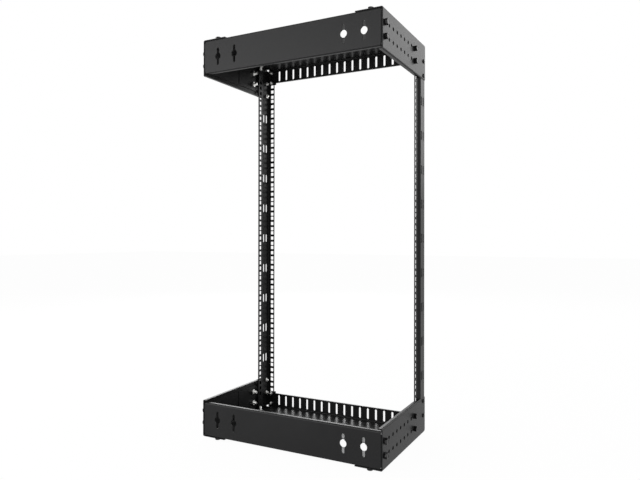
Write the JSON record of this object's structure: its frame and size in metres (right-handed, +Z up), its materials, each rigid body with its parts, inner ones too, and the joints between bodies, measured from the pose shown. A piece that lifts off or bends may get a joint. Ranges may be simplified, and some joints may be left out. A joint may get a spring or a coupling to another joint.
{
  "type": "wall mount open frame rack",
  "caption": "Open frame for 19 inch equipment on a wall: two uprights with square holes, joined at each end by slotted and keyholed brackets and side plates.",
  "frame": {"origin": "middle of the footprint, on the plane of the lowest bolt heads, which the rack stands on", "axes": "+Z up as the rack hangs, -Y towards the equipment side, +Y towards the wall, +X to the right seen from the equipment side"},
  "size_m": [0.513, 0.3078, 1.039],
  "materials": {
    "black_powder_coat": "semi-gloss fine-textured black powder coat",
    "black_fastener": "black-finished steel",
    "zinc_plate": "bright zinc plate"
  },
  "bodies": {
    "root": {"bottom_front_bracket": "black_powder_coat", "bottom_left_front_end_bolt": "black_fastener", "bottom_left_front_end_nut": "zinc_plate", "bottom_left_front_nuts": "zinc_plate", "bottom_left_front_screws": "black_fastener", "bottom_left_front_side_bolts": "black_fastener", "bottom_left_front_side_nuts": "zinc_plate", "bottom_left_side_plate": "black_powder_coat", "bottom_left_upright_nuts": "zinc_plate", "bottom_left_upright_screws": "black_fastener", "bottom_left_wall_end_bolt": "black_fastener", "bottom_left_wall_end_nut": "zinc_plate", "bottom_left_wall_side_bolts": "black_fastener", "bottom_left_wall_side_nuts": "zinc_plate", "bottom_right_front_end_bolt": "black_fastener", "bottom_right_front_end_nut": "zinc_plate", "bottom_right_front_nuts": "zinc_plate", "bottom_right_front_screws": "black_fastener", "bottom_right_front_side_bolts": "black_fastener", "bottom_right_front_side_nuts": "zinc_plate", "bottom_right_side_plate": "black_powder_coat", "bottom_right_upright_nuts": "zinc_plate", "bottom_right_upright_screws": "black_fastener", "bottom_right_wall_end_bolt": "black_fastener", "bottom_right_wall_end_nut": "zinc_plate", "bottom_right_wall_side_bolts": "black_fastener", "bottom_right_wall_side_nuts": "zinc_plate", "bottom_wall_bracket": "black_powder_coat", "left_upright": "black_powder_coat", "right_upright": "black_powder_coat", "top_front_bracket": "black_powder_coat", "top_left_front_end_bolt": "black_fastener", "top_left_front_end_nut": "zinc_plate", "top_left_front_nuts": "zinc_plate", "top_left_front_screws": "black_fastener", "top_left_front_side_bolts": "black_fastener", "top_left_front_side_nuts": "zinc_plate", "top_left_side_plate": "black_powder_coat", "top_left_upright_nuts": "zinc_plate", "top_left_upright_screws": "black_fastener", "top_left_wall_end_bolt": "black_fastener", "top_left_wall_end_nut": "zinc_plate", "top_left_wall_side_bolts": "black_fastener", "top_left_wall_side_nuts": "zinc_plate", "top_right_front_end_bolt": "black_fastener", "top_right_front_end_nut": "zinc_plate", "top_right_front_nuts": "zinc_plate", "top_right_front_screws": "black_fastener", "top_right_front_side_bolts": "black_fastener", "top_right_front_side_nuts": "zinc_plate", "top_right_side_plate": "black_powder_coat", "top_right_upright_nuts": "zinc_plate", "top_right_upright_screws": "black_fastener", "top_right_wall_end_bolt": "black_fastener", "top_right_wall_end_nut": "zinc_plate", "top_right_wall_side_bolts": "black_fastener", "top_right_wall_side_nuts": "zinc_plate", "top_wall_bracket": "black_powder_coat"}
  },
  "joints": []
}
